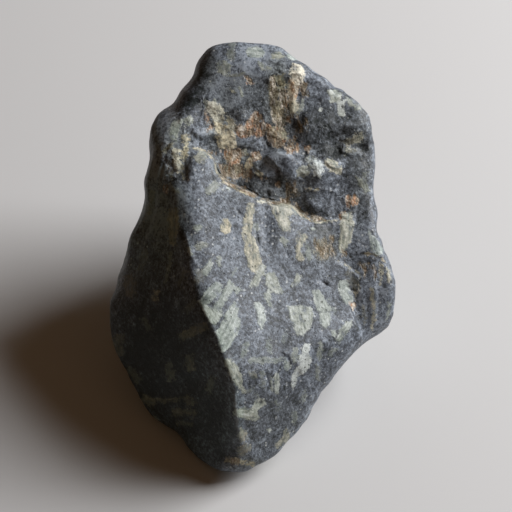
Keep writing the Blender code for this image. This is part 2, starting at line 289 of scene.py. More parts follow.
# Cracks: line, depth in mm, half width.
cracks = [
    ([(262, 200), (274, 203), (288, 203), (300, 211), (314, 220)], 0.3, 2.2),
    ([(256, 220), (256, 234), (260, 249)], 0.3, 1.6),
    ([(234, 206), (239, 213), (244, 217)], 0.12, 1.4),
    ([(285, 251), (289, 258)], 0.15, 1.4),
    ([(321, 281), (324, 283), (328, 286)], 0.5, 1.6),
    ([(345, 285), (351, 290), (357, 292)], 0.25, 1.6),
    ([(367, 282), (366, 300), (368, 320)], 0.08, 2.4),
    ([(379, 286), (379, 305), (376, 324)], 0.08, 2.2),
    ([(350, 258), (362, 254), (373, 255), (384, 261)], 0.18, 1.3),
    ([(266, 373), (268, 380), (270, 389)], 0.25, 1.4),
    ([(166, 148), (160, 176), (152, 205), (143, 240)], 0.4, 2.2),
    ([(152, 150), (150, 180), (146, 205)], 0.3, 2.2),
    ([(201, 99), (206, 108), (208, 118), (213, 128)], 0.1, 1.6),
    ([(163, 148), (170, 143), (176, 141)], 0.35, 1.6),
    ([(319, 100), (321, 104), (320, 108)], 0.15, 1.3),
    ([(251, 162), (255, 171), (263, 174)], 0.2, 1.3),
    ([(262, 134), (266, 142), (270, 150)], 0.35, 1.5),
    ([(267, 84), (269, 98), (267, 118)], 0.15, 1.5),
    ([(289, 84), (290, 100), (288, 118)], 0.08, 1.2),
    ([(232, 147), (240, 148), (248, 152)], 0.1, 1.4),
    ([(190, 145), (200, 147), (214, 149)], 0.45, 2.6),
    ([(362, 196), (357, 210), (356, 226)], 0.3, 1.8),
    ([(350, 240), (360, 243), (368, 247)], 0.1, 1.4),
    ([(311, 160), (313, 168), (315, 176)], 0.15, 1.4),
    ([(178, 160), (174, 190), (176, 215), (182, 240), (190, 268), (200, 292)], -0.7, 6),
    ([(216, 336), (226, 362), (234, 388), (237, 412), (239, 440)], -0.5, 5),
    ([(238, 430), (244, 446), (254, 458), (268, 466)], -0.6, 6),
    ([(234, 392), (235, 406), (237, 422), (240, 440)], -0.4, 3),
    ([(184, 228), (189, 244), (191, 256), (197, 266)], -0.3, 2.5),
    ([(200, 300), (208, 318), (216, 334), (222, 350)], -0.25, 2.5),
]
# Lumps and hollows: middle, half width, half height, height in mm.
lumps = [
    ((138, 165), 31, 60, 2.6), ((299, 124), 8, 10, 0.1), ((236, 163), 16, 8, 0.7), ((253, 169), 10, 8, 0.5),
    ((262, 181), 16, 9, 1.2), ((298, 200), 11, 9, 1.0), ((276, 164), 14, 10, -1.25), ((283, 181), 16, 9, 0.6),
    ((292, 188), 12, 9, 0.6), ((308, 202), 8, 12, 0.25), ((330, 156), 12, 5, -0.3), ((201, 134), 11, 8, 1.0),
    ((217, 149), 8, 7, 0.35), ((238, 177), 9, 6, 0.4), ((300, 182), 9, 9, 0.4), ((236, 117), 8, 8, 0.1),
    ((299, 190), 10, 8, 0.6), ((252, 145), 14, 6, 0.2), ((223, 168), 8, 12, 0.5), ((259, 187), 9, 6, 0.45),
    ((278, 193), 8, 7, 0.25), ((192, 250), 4, 5, 0.35), ((200, 272), 8, 8, -0.25), ((211, 295), 9, 12, 0.2),
    ((206, 315), 8, 8, 0.25), ((229, 333), 9, 14, 0.25), ((222, 135), 5, 16, 0.15), ((298, 75), 7, 10, 0.3),
    ((293, 98), 4, 14, 0.3), ((318, 168), 5, 8, 0.15), ((334, 166), 8, 5, 0.45), ((304, 171), 8, 5, 0.1),
    ((340, 156), 10, 8, 0.6), ((354, 140), 12, 6, 0.45), ((345, 128), 11, 7, 0.55), ((350, 150), 7, 3, 0.4),
    ((338, 148), 4, 8, -0.2), ((364, 149), 5, 5, -0.4), ((268, 236), 8, 20, -0.08), ((322, 249), 9, 10, -0.3),
    ((300, 247), 4, 12, 0.15), ((366, 270), 9, 11, -0.15), ((378, 298), 12, 34, -0.5), ((361, 295), 8, 28, 0.3),
    ((353, 282), 6, 8, -0.25), ((345, 293), 6, 10, 0.2), ((246, 415), 12, 7, 0.25), ((242, 434), 6, 8, 0.2),
    ((283, 440), 9, 8, 0.15), ((204, 162), 12, 12, 0.2), ((158, 130), 13, 24, 0.6), ((186, 139), 4, 4, 0.3),
    ((178, 165), 4, 8, 0.35), ((232, 162), 9, 6, 0.3), ((230, 146), 12, 8, 0.15), ((246, 132), 10, 7, 0.25),
    ((212, 124), 8, 10, 0.3), ((278, 110), 10, 22, -0.15), ((280, 138), 9, 8, 0.3), ((174, 226), 7, 20, 0.2),
    ((180, 200), 9, 24, 0.7), ((352, 202), 6, 5, 0.35), ((345, 226), 6, 14, 0.2), ((330, 228), 10, 5, -0.3),
    ((330, 96), 12, 10, 0.15),
]
# Smooth partings within the scar: middle, half width, half height.
partings = [
    ((280, 165), 21, 16), ((200, 136), 11, 9), ((250, 144), 16, 6), ((322, 203), 19, 11), ((330, 102), 34, 27),
    ((234, 94), 28, 15), ((261, 189), 14, 8), ((194, 110), 8, 12), ((336, 181), 22, 8), ((356, 180), 12, 40),
    ((174, 132), 9, 14), ((318, 138), 17, 12), ((236, 165), 20, 14),
]
# Swellings of the outline: middle, radius in squares, mm outwards.
swellings = [
    ((104, 330), 60, 0.7), ((172, 438), 34, -1.3), ((232, 478), 24, -0.9), ((278, 456), 30, 1.8),
    ((322, 402), 26, -1.2), ((317, 400), 12, 0.6), ((295, 436), 16, 0.7), ((384, 230), 27, -1.9),
    ((392, 268), 16, -0.8), ((390, 252), 16, -1.3), ((113, 292), 24, -0.9), ((376, 192), 28, -0.7),
    ((340, 86), 26, -1.4), ((298, 54), 18, -1.1), ((288, 48), 12, -0.5), ((343, 88), 9, 0.6),
    ((355, 100), 10, -0.3), ((372, 116), 16, 0.9), ((191, 76), 16, -0.6), ((170, 104), 18, -0.9),
    ((210, 50), 12, 0.3), ((144, 152), 34, -1.2), ((136, 208), 42, -1.5), ((121, 268), 36, -1.6),
]
# Chips: size in mm, tilt, hollow, seed, wear, share kept everywhere, share added in the scar. The worn
# faces are faintly uneven, and the scar is freshly hackly.
chips = [
    (6.0, 0.05, 0.05, 3, 0.25, 0.50, 0.30),
    (2.8, 0.22, 0.12, 5, 0.05, 0.10, 0.56),
    (1.4, 0.40, 0.25, 8, 0.04, 0.07, 0.48),
]


def worked(name):
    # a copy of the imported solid's own shape, merged, to be worked finer
    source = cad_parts[name]
    piece = source.copy()
    piece.data = source.data.copy()
    piece.name = "weathered_" + name
    bpy.context.scene.collection.objects.link(piece)
    piece.parent = None
    piece.matrix_world = Matrix.Identity(4)
    pickOnly(piece)
    bpy.ops.object.mode_set(mode="EDIT")
    bpy.ops.mesh.select_all(action="SELECT")
    bpy.ops.mesh.remove_doubles(threshold=1e-6)
    bpy.ops.object.mode_set(mode="OBJECT")
    return piece


def chipped(points, size, tilt, hollow, seed, wear):
    # shallow scallops with ridges between them, as struck rock has: heights in mm, ridges rounded by wear
    cells = points / (size * mm)
    home = np.floor(cells)
    total = np.zeros(len(points))
    for step in np.ndindex(3, 3, 3):
        cell = home + np.array(step) - 1
        # six draws for each cell, the same on every run
        code = (cell @ (73856093, 19349663, 83492791) + seed * 2654435).astype(np.int64)
        draws = []
        for turn in range(6):
            code = (code * 1103515245 + 12345 + turn) & 0x7FFFFFFF
            draws.append(((code >> 8) & 0xFFFF) / 65535.0)
        away = cells - (cell + np.stack(draws[:3], axis=1))
        leaning = (np.stack(draws[3:], axis=1) - 0.5) * 2 * tilt
        height = (away * leaning).sum(axis=1) + hollow * (away**2).sum(axis=1)
        total += np.exp(-height / (wear * hollow))
    height = -wear * hollow * np.log(total + 1e-300)
    return (height - np.median(height)) * size


def averaged(piece, rounds):
    # every point moved to the middle of its neighbours, again and again
    mesh = piece.data
    points = pointsOf(piece)
    ends = np.empty(len(mesh.edges) * 2, int)
    mesh.edges.foreach_get("vertices", ends)
    ends = ends.reshape(-1, 2)
    count = np.bincount(ends.ravel(), minlength=len(points))[:, None]
    for _ in range(rounds):
        total = np.zeros_like(points)
        for axis in range(3):
            total[:, axis] = np.bincount(ends[:, 0], points[ends[:, 1], axis], len(points))
            total[:, axis] += np.bincount(ends[:, 1], points[ends[:, 0], axis], len(points))
        points = 0.5 * points + 0.5 * total / count
    return points


def facing(normals):
    # 1 where the surface is turned to the face's side, 0 where it is turned away
    return smoothStep((normals @ outOfFace() - 0.05) / 0.3)


def fadedEnds(share, part):
    return smoothStep(share / part) * smoothStep((1.0 - share) / part)


def scarred(points, normals):
    x, y, _ = faceView(points)
    return smoothStep(0.5 - insideOf(scar, x, y) / surface["scarBlend"]) * facing(normals)


def hackly(points, normals):
    # broken ground, less on its smooth partings
    x, y, _ = faceView(points)
    smooth = np.zeros(len(points))
    for middle, halfX, halfY in partings:
        away = awayFrom(middle, halfX, halfY, x, y)
        smooth = np.maximum(smooth, 1.0 - smoothStep((away - 0.75) * 2))
    return scarred(points, normals) * (1.0 - 0.8 * smooth)


def carve(piece):
    points = pointsOf(piece)
    normals = normalsOf(piece)
    even = ((averaged(piece, surface["calmRounds"]) - points) * normals).sum(axis=1)
    points = points + normals * (even * surface["calmShare"] * scarred(points, normals))[:, None]
    x, y, _ = faceView(points)
    broken = hackly(points, normals)
    rise = np.zeros(len(points))
    for line, height, wall, run in ledges:
        side, share = alongLine(line, x, y)
        ends = fadedEnds(share, surface["ledgeEnds"])
        rise += height * ends * smoothStep(side / wall + 0.5) * np.exp(-np.maximum(side - wall / 2, 0.0) / run)
    for line, depth, halfWidth in cracks:
        side, share = alongLine(line, x, y)
        ends = 0.3 + 0.7 * fadedEnds(share, surface["crackEnds"])
        rise -= depth * ends * np.exp(-((side / halfWidth) ** 2))
    for middle, halfX, halfY, height in lumps:
        rise += height * (1.0 - smoothStep(awayFrom(middle, halfX, halfY, x, y) / 1.6))
    points = points + outOfFace() * (facing(normals) * rise * mm)[:, None]
    sideways = normals - (normals @ outOfFace())[:, None] * outOfFace()
    for middle, radius, amount in swellings:
        away = awayFrom(middle, radius, radius, x, y)
        points = points + sideways * ((1.0 - smoothStep(away)) * amount * mm)[:, None]
    rough = np.zeros(len(points))
    for size, tilt, hollow, seed, wear, everywhere, atScar in chips:
        rough += chipped(points, size, tilt, hollow, seed, wear) * (everywhere + atScar * broken)
    movePoints(piece, points + normals * (rough * mm)[:, None])


def thinOut(piece):
    # fewer triangles where the surface is even, and fewer still on the back and underneath
    pickOnly(piece)
    for shown in (True, False):
        normals = np.empty(len(piece.data.polygons) * 3)
        piece.data.polygons.foreach_get("normal", normals)
        picked = (normals.reshape(-1, 3) @ outOfFace() > -0.12) == shown
        bpy.ops.object.mode_set(mode="EDIT")
        bpy.ops.mesh.select_mode(type="FACE")
        bpy.ops.mesh.select_all(action="DESELECT")
        bpy.ops.object.mode_set(mode="OBJECT")
        piece.data.polygons.foreach_set("select", picked)
        bpy.ops.object.mode_set(mode="EDIT")
        bpy.ops.mesh.decimate(ratio=surface["shown"] if shown else surface["hidden"])
        bpy.ops.object.mode_set(mode="OBJECT")
    bpy.ops.object.mode_set(mode="EDIT")
    bpy.ops.mesh.select_all(action="SELECT")
    bpy.ops.mesh.quads_convert_to_tris()
    bpy.ops.object.mode_set(mode="OBJECT")


def keepInside(piece):
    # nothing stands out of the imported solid's box, and the foot stays flat on the ground
    points = pointsOf(piece)
    low, high = np.array(cadBox[0]), np.array(cadBox[1])
    foot = points[:, 2] < 0.25 * mm
    points = np.clip(points, low, high)
    points[foot, 2] = 0.0
    movePoints(piece, points)


stone = worked("stone")
finishWith(stone, "REMESH", mode="VOXEL", voxel_size=surface["grid"] * mm)
finishWith(stone, "SMOOTH", factor=0.5, iterations=surface["ease"])
movePoints(stone, pointsOf(stone) + normalsOf(stone) * surface["swell"] * mm)
carve(stone)
thinOut(stone)
keepInside(stone)
print("stone surface:", len(stone.data.polygons), "faces")

# crystals, stains, and painted light and shade

# Crystals on the face: how pale, how warm, outline.
crystals = [
    (0.76, 0.72, [(248, 202), (254, 203), (255, 210), (253, 217), (253, 225), (251, 232), (255, 240), (258, 248),
                  (261, 256), (262, 262), (258, 268), (254, 273), (250, 270), (247, 262), (245, 252), (243, 242),
                  (242, 232), (243, 222), (245, 212)]),
    (0.45, 0.30, [(254, 221), (259, 222), (260, 229), (256, 233), (253, 229)]),
    (0.80, 0.85, [(223, 219), (228, 218), (231, 223), (231, 231), (226, 234), (221, 232), (220, 225)]),
    (0.70, 0.20, [(193, 226), (198, 224), (203, 226), (202, 230), (197, 232), (193, 230)]),
    (0.50, 0.40, [(194, 246), (200, 241), (208, 242), (207, 247), (200, 250), (195, 249)]),
    (0.85, 0.30, [(187, 248), (190, 246), (193, 255), (190, 256)]),
    (0.60, 0.20, [(210, 257), (213, 258), (212, 268), (207, 276), (202, 277), (200, 270), (206, 266)]),
    (0.30, 0.60, [(195, 269), (203, 269), (205, 279), (199, 285), (194, 280)]),
    (0.55, 0.30, [(218, 255), (222, 257), (221, 265), (219, 268), (216, 262)]),
    (0.55, 0.10, [(215, 281), (223, 284), (221, 291), (213, 300), (206, 305), (199, 302), (203, 294), (209, 287)]),
    (0.60, 0.15, [(229, 280), (234, 284), (232, 292), (227, 300), (222, 308), (215, 315), (209, 320), (213, 308),
                  (219, 298), (225, 288)]),
    (0.75, 0.30, [(198, 300), (207, 305), (213, 308), (222, 309), (222, 316), (216, 325), (211, 324), (205, 315)]),
    (0.85, 0.15, [(228, 316), (236, 314), (241, 321), (240, 328), (235, 338), (229, 348), (223, 353), (219, 349),
                  (219, 341), (215, 333), (219, 327)]),
    (0.70, 0.15, [(234, 300), (239, 306), (238, 314), (232, 320), (226, 322), (224, 316), (229, 308)]),
    (0.60, 0.15, [(234, 288), (239, 286), (243, 290), (236, 295)]),
    (0.65, 0.40, [(261, 264), (266, 266), (265, 272), (260, 280), (258, 286), (250, 289), (248, 286), (252, 280),
                  (257, 272)]),
    (0.60, 0.35, [(266, 272), (274, 272), (279, 278), (280, 286), (284, 292), (277, 294), (270, 290), (265, 284)]),
    (0.65, 0.30, [(264, 292), (270, 290), (272, 296), (270, 302), (274, 310), (268, 306), (265, 298)]),
    (0.65, 0.40, [(296, 274), (302, 275), (301, 280), (297, 286), (290, 288), (293, 281)]),
    (0.60, 0.60, [(273, 205), (283, 203), (292, 206), (294, 213), (289, 219), (292, 226), (288, 233), (283, 232),
                  (279, 225), (275, 219), (272, 212)]),
    (0.55, 0.35, [(280, 235), (286, 238), (290, 243), (286, 247), (281, 241)]),
    (0.62, 0.70, [(300, 234), (306, 233), (308, 238), (304, 243), (300, 249), (303, 255), (305, 259), (300, 262),
                  (296, 258), (295, 250), (297, 242)]),
    (0.35, 0.85, [(318, 238), (327, 240), (331, 250), (328, 259), (320, 260), (315, 252), (315, 243)]),
    (0.45, 0.20, [(305, 244), (311, 248), (312, 258), (308, 262), (306, 254)]),
    (0.85, 0.20, [(312, 291), (318, 289), (323, 295), (327, 302), (331, 310), (331, 322), (326, 330), (321, 326),
                  (319, 315), (314, 303)]),
    (0.85, 0.30, [(288, 306), (298, 305), (312, 307), (314, 316), (311, 327), (303, 336), (297, 335), (293, 326),
                  (289, 316)]),
    (0.95, 0.15, [(253, 303), (260, 302), (265, 310), (266, 320), (262, 330), (258, 325), (257, 314)]),
    (0.45, 0.15, [(244, 341), (249, 342), (248, 352), (244, 360), (241, 355)]),
    (0.45, 0.20, [(247, 357), (262, 356), (274, 358), (284, 357), (283, 361), (264, 364), (249, 364)]),
    (1.00, 0.20, [(304, 343), (311, 344), (309, 352), (312, 360), (309, 368), (303, 375), (297, 377), (295, 385),
                  (293, 390), (291, 386), (292, 376), (297, 366), (300, 356)]),
    (0.55, 0.30, [(293, 349), (298, 346), (299, 355), (294, 364), (291, 358)]),
    (0.50, 0.30, [(319, 341), (323, 345), (323, 355), (320, 362), (317, 354)]),
    (0.45, 0.30, [(316, 363), (320, 368), (319, 380), (315, 378)]),
    (0.80, 0.30, [(275, 372), (279, 373), (280, 382), (278, 395), (275, 393), (274, 382)]),
    (0.60, 0.15, [(285, 359), (290, 362), (291, 368), (287, 372), (284, 367)]),
    (0.60, 0.45, [(223, 357), (232, 360), (238, 366), (242, 376), (243, 386), (248, 394), (243, 393), (234, 383),
                  (228, 373)]),
    (0.70, 0.35, [(258, 397), (264, 399), (266, 404), (261, 408), (256, 414), (251, 410), (254, 403)]),
    (0.65, 0.40, [(233, 410), (244, 407), (255, 409), (260, 417), (256, 421), (247, 420), (240, 417), (234, 416)]),
    (0.45, 0.70, [(240, 428), (247, 430), (247, 440), (241, 442), (238, 436)]),
    (0.45, 0.20, [(291, 412), (296, 411), (298, 422), (293, 424)]),
    (0.50, 0.60, [(285, 428), (290, 430), (291, 438), (284, 444), (276, 449), (276, 442), (283, 437)]),
    (0.40, 0.70, [(236, 449), (246, 443), (252, 446), (246, 456), (238, 455)]),
    (0.70, 0.25, [(267, 429), (271, 428), (271, 432), (267, 433)]),
    (0.40, 0.50, [(248, 371), (256, 370), (257, 377), (250, 378)]),
    (0.92, 0.55, [(341, 214), (346, 212), (351, 211), (354, 222), (353, 232), (351, 242), (346, 250), (341, 254),
                  (338, 246), (340, 232), (340, 222)]),
    (0.70, 0.05, [(368, 228), (373, 236), (380, 243), (384, 252), (379, 256), (373, 254), (370, 245)]),
    (0.30, 0.60, [(346, 268), (352, 272), (358, 278), (360, 288), (356, 291), (349, 286), (346, 278)]),
    (0.90, 0.15, [(339, 281), (346, 280), (350, 288), (354, 297), (352, 303), (345, 305), (341, 298), (338, 288)]),
    (0.55, 0.80, [(352, 292), (359, 291), (356, 300)]),
    (0.55, 0.70, [(370, 285), (374, 290), (376, 305), (376, 318), (373, 331), (370, 328), (373, 312), (370, 298)]),
    (0.35, 0.60, [(361, 304), (365, 306), (367, 318), (364, 326)]),
    (0.65, 0.25, [(388, 302), (391, 303), (390, 316), (386, 322)]),
    (0.60, 0.25, [(336, 342), (339, 330), (345, 322), (352, 320), (353, 325), (345, 335), (340, 343)]),
    (0.70, 0.20, [(331, 330), (336, 330), (337, 335), (333, 338)]),
    (0.60, 0.75, [(379, 262), (383, 264), (383, 278), (380, 285)]),
    (0.60, 0.75, [(386, 268), (390, 270), (391, 280), (388, 283)]),
    (0.94, 0.10, [(173, 120), (184, 119), (181, 128), (176, 142), (170, 140), (170, 130)]),
    (0.80, 0.50, [(172, 142), (175, 144), (165, 153), (160, 156), (163, 149)]),
    (0.60, 0.80, [(182, 135), (188, 134), (190, 140), (187, 147), (183, 145)]),
    (1.00, 0.60, [(173, 147), (179, 149), (180, 158), (182, 168), (178, 174), (174, 165), (172, 154)]),
    (0.92, 1.00, [(184, 147), (189, 148), (187, 156), (183, 162), (181, 158), (183, 152)]),
    (0.75, 0.40, [(184, 118), (190, 116), (194, 120), (190, 126), (185, 125)]),
    (1.00, 0.60, [(207, 101), (217, 102), (224, 110), (226, 120), (220, 124), (213, 122), (209, 113), (206, 107)]),
    (1.00, 1.00, [(213, 120), (220, 122), (226, 131), (229, 145), (225, 151), (218, 146), (215, 135)]),
    (1.00, 0.80, [(222, 122), (231, 127), (236, 136), (236, 147), (231, 152), (226, 146)]),
    (0.97, 0.70, [(225, 113), (234, 119), (239, 128), (232, 131), (226, 124)]),
    (1.00, 0.80, [(247, 158), (253, 157), (252, 166), (248, 172), (244, 168)]),
    (0.85, 0.80, [(226, 150), (233, 150), (231, 160), (226, 162)]),
    (1.00, 0.75, [(234, 163), (240, 162), (241, 172), (236, 176), (233, 170)]),
    (0.88, 0.80, [(268, 128), (275, 126), (279, 136), (276, 146), (270, 140)]),
    (0.62, 0.90, [(269, 80), (274, 76), (278, 86), (276, 100), (271, 104), (268, 92)]),
    (0.84, 0.90, [(273, 104), (280, 100), (283, 112), (279, 124), (273, 118)]),
    (1.00, 0.70, [(292, 63), (302, 65), (306, 71), (304, 80), (297, 86), (290, 83), (290, 72)]),
    (0.82, 1.00, [(289, 80), (297, 80), (297, 92), (295, 103), (289, 106), (288, 95)]),
    (0.88, 0.75, [(290, 104), (298, 101), (300, 109), (297, 115), (290, 114)]),
    (0.75, 0.25, [(302, 98), (304, 100), (303, 110), (299, 114), (297, 110), (300, 105)]),
    (0.70, 0.80, [(276, 76), (284, 74), (286, 84), (282, 92), (277, 90)]),
    (0.92, 0.70, [(278, 126), (285, 130), (288, 138), (281, 141), (277, 134)]),
    (0.86, 0.40, [(327, 90), (335, 89), (342, 94), (341, 101), (336, 103), (330, 102)]),
    (1.00, 0.40, [(336, 101), (347, 99), (344, 107), (345, 116), (340, 117), (337, 109)]),
    (0.65, 0.35, [(346, 97), (352, 99), (354, 106), (349, 106)]),
    (0.75, 0.30, [(354, 104), (360, 104), (361, 110), (355, 111)]),
    (0.50, 0.65, [(340, 143), (348, 138), (355, 136), (361, 132), (366, 135), (363, 141), (354, 145), (346, 146)]),
    (0.50, 0.60, [(343, 147), (349, 147), (356, 150), (355, 154), (347, 153)]),
    (0.70, 0.45, [(296, 171), (301, 166), (308, 165), (312, 168), (311, 174), (303, 178), (297, 176)]),
    (1.00, 0.30, [(311, 160), (318, 158), (322, 163), (323, 172), (320, 178), (313, 177)]),
    (0.82, 0.70, [(324, 160), (331, 158), (338, 163), (342, 169), (341, 174), (333, 173), (326, 168)]),
    (0.45, 0.40, [(306, 156), (314, 158), (312, 164), (306, 162)]),
    (0.38, 0.30, [(228, 42), (237, 42), (234, 50), (236, 58), (230, 62), (226, 56), (229, 49)]),
    (0.55, 0.40, [(216, 62), (226, 60), (232, 66), (226, 76), (219, 74)]),
    (0.85, 0.15, [(246, 48), (258, 46), (266, 52), (262, 58), (248, 58)]),
    (0.65, 0.45, [(270, 52), (280, 52), (285, 57), (278, 60), (271, 58)]),
    (0.75, 0.10, [(287, 53), (292, 55), (297, 60), (292, 61), (287, 57)]),
    (0.60, 0.40, [(258, 62), (268, 65), (272, 70), (262, 70)]),
    (0.45, 0.30, [(283, 205), (286, 204), (300, 213), (310, 220), (302, 218), (292, 212)]),
    (1.00, 0.50, [(240, 150), (246, 149), (248, 155), (243, 157)]),
    (0.50, 0.60, [(224, 165), (229, 165), (231, 173), (226, 175)]),
    (0.80, 0.80, [(255, 171), (262, 172), (263, 178), (257, 178)]),
    (0.55, 0.50, [(200, 150), (208, 154), (206, 162), (198, 164), (194, 158)]),
    (0.50, 0.35, [(206, 186), (216, 180), (222, 184), (214, 193), (206, 196)]),
    (0.55, 0.35, [(356, 176), (364, 180), (370, 190), (364, 192), (358, 184)]),
    (0.40, 0.30, [(362, 172), (368, 171), (368, 178), (363, 180)]),
    (0.50, 0.90, [(168, 208), (178, 207), (179, 228), (176, 246), (170, 244), (167, 226)]),
    (0.30, 0.90, [(124, 277), (134, 274), (137, 290), (132, 298), (125, 296)]),
]
# Plain laths: start, end, width in squares, how pale, how warm.
laths = [
    (156, 290, 155, 302, 7, 0.45, 0.9), (171, 250, 166, 284, 4, 0.45, 0.4), (180, 338, 207, 325, 10, 0.36, 0.9),
    (118, 335, 119, 355, 12, 0.3, 0.8), (188, 356, 192, 370, 10, 0.34, 0.8), (168, 362, 172, 380, 9, 0.32, 0.6),
    (212, 378, 208, 392, 8, 0.34, 0.5), (158, 401, 180, 399, 5, 0.35, 1.0), (186, 397, 193, 405, 8, 0.33, 1.0),
    (172, 412, 196, 413, 8, 0.33, 1.0), (176, 423, 192, 424, 4, 0.31, 1.0), (142, 398, 155, 403, 10, 0.34, 1.0),
    (152, 420, 168, 434, 8, 0.34, 1.0), (226, 459, 254, 464, 6, 0.55, 0.9), (142, 318, 150, 330, 7, 0.3, 0.5),
    (196, 300, 186, 312, 6, 0.3, 0.5), (128, 368, 140, 380, 8, 0.3, 0.6), (152, 190, 150, 215, 5, 0.45, 0.4),
    (186, 270, 178, 286, 6, 0.3, 0.5), (146, 250, 140, 270, 7, 0.3, 0.6), (298, 232, 298, 248, 3, 0.4, 0.6),
    (262, 372, 263, 388, 4, 0.4, 0.3), (271, 376, 272, 390, 2.5, 0.6, 0.3), (330, 355, 336, 348, 5, 0.4, 0.2),
    (268, 340, 270, 352, 5, 0.35, 0.1), (236, 268, 232, 276, 3, 0.35, 0.1), (286, 330, 283, 342, 4, 0.32, 0.1),
    (330, 300, 334, 312, 4, 0.35, 0.1), (250, 390, 256, 396, 5, 0.35, 0.2), (275, 402, 281, 410, 5, 0.35, 0.2),
    (306, 392, 302, 402, 4, 0.4, 0.3),
]
# Threads: worn rims, pale partly as painted highlight where they catch the light, healed cracks, thin veins and a
# few painted glints. Line, width in squares, how pale, how warm.
threads = [
    ([(190, 149), (197, 148), (204, 151), (209, 154), (213, 159), (215, 161)], 2.4, 0.75, 0.9),
    ([(215, 161), (216, 168), (218, 175)], 1.8, 0.8, 0.9),
    ([(218, 174), (223, 181), (228, 185), (236, 189), (243, 192), (250, 195), (255, 198)], 1.9, 0.62, 1.0),
    ([(257, 201), (263, 202), (268, 202), (271, 205)], 2.8, 1.0, 0.6),
    ([(271, 205), (280, 204), (288, 204), (293, 207), (298, 212), (305, 217), (311, 221)], 2.8, 0.8, 0.7),
    ([(311, 221), (318, 223), (326, 221), (336, 220)], 2.2, 0.7, 0.7),
    ([(243, 149), (246, 152), (249, 157), (254, 158), (260, 158)], 2.0, 0.8, 1.0),
    ([(304, 189), (311, 189), (318, 190), (320, 193)], 1.3, 0.6, 1.0),
    ([(338, 261), (344, 264), (351, 268), (357, 271), (361, 277)], 1.6, 0.6, 0.7),
    # a painted glint
    ([(358, 283), (359, 291)], 2.4, 0.9, 0.7),
    ([(229, 88), (232, 91), (236, 93)], 2.4, 0.7, 0.6), ([(238, 86), (241, 90), (242, 97)], 2.6, 0.7, 0.3),
    ([(203, 99), (206, 105), (209, 109)], 2.6, 0.6, 0.3), ([(214, 98), (216, 102)], 2.2, 0.7, 0.4),
    ([(362, 254), (372, 254), (379, 257), (385, 262)], 2.2, 0.6, 1.0),
    # painted glints on the ridge lobe, by the lower rim and on the slab
    ([(221, 189), (223, 191)], 2.8, 1.0, 0.1), ([(227, 187), (229, 190)], 2.8, 1.0, 0.1),
    ([(310, 226), (315, 231)], 3.0, 0.9, 0.2), ([(320, 108), (321, 111)], 3.0, 1.0, 0.2),
    ([(226, 76), (240, 75), (246, 72)], 2.4, 0.5, 0.4),
    ([(172, 172), (170, 184), (175, 190), (184, 194)], 2.6, 0.5, 0.5),
    ([(183, 160), (181, 170), (184, 178)], 2.4, 0.55, 0.6), ([(284, 76), (288, 90), (286, 104)], 2.2, 0.5, 0.8),
]
# Laths strewn where the face doesn't show: how many, length and width in mm.
hiddenLaths = {"number": 330, "length": (2.5, 9.5), "width": (1.0, 3.2), "seed": 11}

# Stains: outline of rusty ground, strength, how brown it is rather than orange.
stains = [
    (0.92, 0.00, [(221, 150), (234, 148), (243, 152), (241, 162), (232, 166), (224, 160)]),
    (0.62, 0.60, [(218, 160), (228, 164), (244, 160), (248, 172), (250, 181), (238, 179), (224, 175)]),
    (0.90, 0.25, [(247, 153), (262, 152), (262, 158), (252, 164), (251, 171), (256, 178), (246, 178), (246, 164)]),
    (0.80, 0.10, [(244, 120), (252, 112), (262, 114), (267, 124), (264, 134), (256, 137), (240, 136), (232, 128)]),
    (0.85, 1.00, [(271, 77), (276, 75), (276, 92), (284, 84), (287, 96), (287, 124), (281, 128), (272, 122),
                  (271, 100)]),
    (0.80, 0.55, [(284, 122), (284, 90), (287, 80), (290, 82), (289, 106), (291, 124)]),
    (0.70, 0.90, [(299, 80), (308, 84), (308, 96), (299, 98)]),
    (0.85, 0.25, [(289, 80), (298, 79), (298, 98), (289, 100)]),
    (0.50, 1.00, [(292, 114), (306, 118), (310, 132), (296, 134)]),
    (0.80, 0.30, [(268, 126), (278, 124), (288, 132), (286, 144), (276, 148), (269, 142)]),
    (0.75, 0.45, [(284, 146), (292, 138), (298, 136), (302, 146), (310, 147), (308, 152), (296, 153), (286, 153)]),
    (0.75, 0.80, [(220, 176), (232, 181), (244, 187), (258, 195), (256, 198), (242, 192), (226, 185)]),
    (0.70, 0.90, [(256, 194), (268, 199), (286, 198), (300, 206), (314, 216), (326, 220), (314, 222), (300, 214),
                  (288, 204), (270, 204)]),
    (0.85, 0.10, [(346, 197), (354, 195), (358, 201), (355, 207), (348, 207)]),
    (0.80, 0.10, [(245, 76), (252, 79), (253, 84), (247, 84)]),
    (0.80, 0.15, [(349, 303), (355, 304), (354, 310), (350, 309)]),
    (0.45, 0.90, [(338, 244), (346, 250), (350, 258), (344, 264), (337, 254)]),
    (0.60, 0.35, [(340, 213), (345, 212), (345, 220), (340, 220)]),
    (0.50, 0.60, [(205, 108), (210, 116), (213, 130), (208, 132), (205, 120)]),
    (0.40, 0.80, [(196, 146), (214, 148), (218, 158), (206, 152)]),
    (0.35, 1.00, [(166, 152), (172, 170), (168, 196), (162, 190)]),
    (0.32, 0.90, [(356, 262), (376, 258), (378, 284), (366, 282)]),
    (0.34, 1.00, [(312, 238), (336, 234), (338, 256), (316, 262)]),
    (0.42, 0.90, [(282, 184), (296, 180), (300, 196), (286, 200)]),
    (0.60, 0.30, [(252, 172), (264, 176), (282, 184), (280, 187), (262, 181)]),
    (0.35, 0.60, [(348, 206), (356, 210), (356, 224), (351, 222)]),
    (0.35, 0.90, [(226, 458), (240, 457), (250, 462), (238, 467), (226, 465)]),
]
stainBlend = 9  # squares over which a stain fades out
